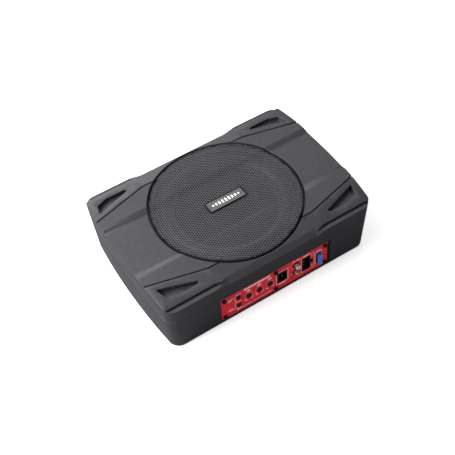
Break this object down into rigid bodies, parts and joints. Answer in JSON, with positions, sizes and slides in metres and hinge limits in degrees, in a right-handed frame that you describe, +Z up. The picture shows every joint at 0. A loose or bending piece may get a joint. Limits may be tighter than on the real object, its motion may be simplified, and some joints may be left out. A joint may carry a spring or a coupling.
{
  "type": "powered car subwoofer",
  "caption": "Flat under-seat powered subwoofer: two-shell enclosure, upward-firing woofer behind a round perforated grille, amplifier with red control panel in one long wall.",
  "frame": {"origin": "centre of the tray's flat underside, on the woofer's axis; the feet stand 1 mm below it", "axes": "+Z up, the way the woofer fires; +X along the long side; -Y out of the wall with the control panel"},
  "size_m": [0.3452, 0.2428, 0.098],
  "materials": {
    "badge_metal": "brushed, dark anodised",
    "basket_black": "satin",
    "board_brown": "phenolic board",
    "board_green": "solder mask",
    "brass": "machined",
    "can_blue": "shrink sleeve",
    "cone_black": "moulded polypropylene",
    "copper_wire": "enamelled copper winding",
    "ferrite": "sintered",
    "foam": "closed-cell foam",
    "former_aluminium": "plain",
    "fuse_blue": "translucent blue",
    "grille_black": "satin powder coat",
    "knob_black": "moulded",
    "led_lens": "clear-white lens",
    "nickel": "nickel plated",
    "panel_red": "satin red coat",
    "plastic_black": "moulded",
    "plastic_red": "moulded",
    "plastic_white": "moulded",
    "rubber_black": "matt",
    "screw_black": "black zinc",
    "shell": "fine moulded texture",
    "silver_braid": "tinned braid",
    "spider_cloth": "impregnated cloth",
    "tin_pin": "tinned",
    "wire_black": "insulation",
    "wire_red": "insulation",
    "zinc_steel": "zinc plated"
  },
  "bodies": {
    "enclosure": {"badge": "badge_metal", "board_screws": "zinc_steel", "bottom_tray": "shell", "capacitors": "can_blue", "chokes": "copper_wire", "control_board": "board_green", "control_bodies": "plastic_black", "control_panel": "panel_red", "cover_screws": "screw_black", "fuse_holder": "plastic_black", "grille": "grille_black", "heat_sink": "former_aluminium", "input_pins": "tin_pin", "input_socket": "plastic_black", "magnet_top_plate": "zinc_steel", "magnet_yoke": "zinc_steel", "main_board": "board_green", "mounting_inserts": "brass", "panel_screws": "screw_black", "phono_block": "plastic_black", "phono_contacts": "nickel", "phono_red_insert": "plastic_red", "phono_shells": "nickel", "phono_white_insert": "plastic_white", "power_led": "led_lens", "power_pins": "tin_pin", "power_socket": "plastic_black", "power_transistors": "plastic_black", "ring_magnet": "ferrite", "rubber_feet": "rubber_black", "shell_seal": "foam", "speaker_wire_minus": "wire_black", "speaker_wire_plus": "wire_red", "spider": "spider_cloth", "surround": "rubber_black", "switch_bodies": "plastic_black", "terminal_strip": "board_brown", "tinsel_leads": "silver_braid", "top_cover": "shell", "trim_ring": "rubber_black", "woofer_basket": "basket_black", "woofer_gasket": "foam", "woofer_screws": "screw_black"},
    "cone_assembly": {"coil_former": "former_aluminium", "voice_coil": "copper_wire", "cone": "cone_black", "dust_cap": "cone_black"},
    "level_control": {"level_knob": "knob_black", "level_shaft": "nickel"},
    "crossover_control": {"crossover_knob": "knob_black", "crossover_shaft": "nickel"},
    "boost_control": {"boost_knob": "knob_black", "boost_shaft": "nickel"},
    "phase_switch": {"phase_button": "knob_black"},
    "auto_on_switch": {"auto_on_button": "knob_black"},
    "fuse": {"blade_fuse_body": "fuse_blue", "blade_fuse_blades": "tin_pin"}
  },
  "joints": [
    {"name": "cone_travel", "type": "slide", "parent": "enclosure", "child": "cone_assembly", "axis": [0, 0, 1], "range_m": [-0.005, 0.005], "stiffness_N_per_m": 2500, "deforming": ["surround", "spider", "tinsel_leads"]},
    {"name": "level_turn", "type": "hinge", "parent": "enclosure", "child": "level_control", "pos_m": [-0.0403, -0.1152, 0.0289], "axis": [0, 1, 0], "range_deg": [-140, 140]},
    {"name": "crossover_turn", "type": "hinge", "parent": "enclosure", "child": "crossover_control", "pos_m": [-0.0226, -0.1152, 0.0289], "axis": [0, 1, 0], "range_deg": [-140, 140]},
    {"name": "boost_turn", "type": "hinge", "parent": "enclosure", "child": "boost_control", "pos_m": [-0.0049, -0.1152, 0.0289], "axis": [0, 1, 0], "range_deg": [-140, 140]},
    {"name": "phase_press", "type": "slide", "parent": "enclosure", "child": "phase_switch", "axis": [0, 1, 0], "range_m": [0, 0.002], "stiffness_N_per_m": 400},
    {"name": "auto_on_press", "type": "slide", "parent": "enclosure", "child": "auto_on_switch", "axis": [0, 1, 0], "range_m": [0, 0.002], "stiffness_N_per_m": 400},
    {"name": "fuse_pull", "type": "slide", "parent": "enclosure", "child": "fuse", "axis": [0, -1, 0], "range_m": [0, 0.012]}
  ]
}
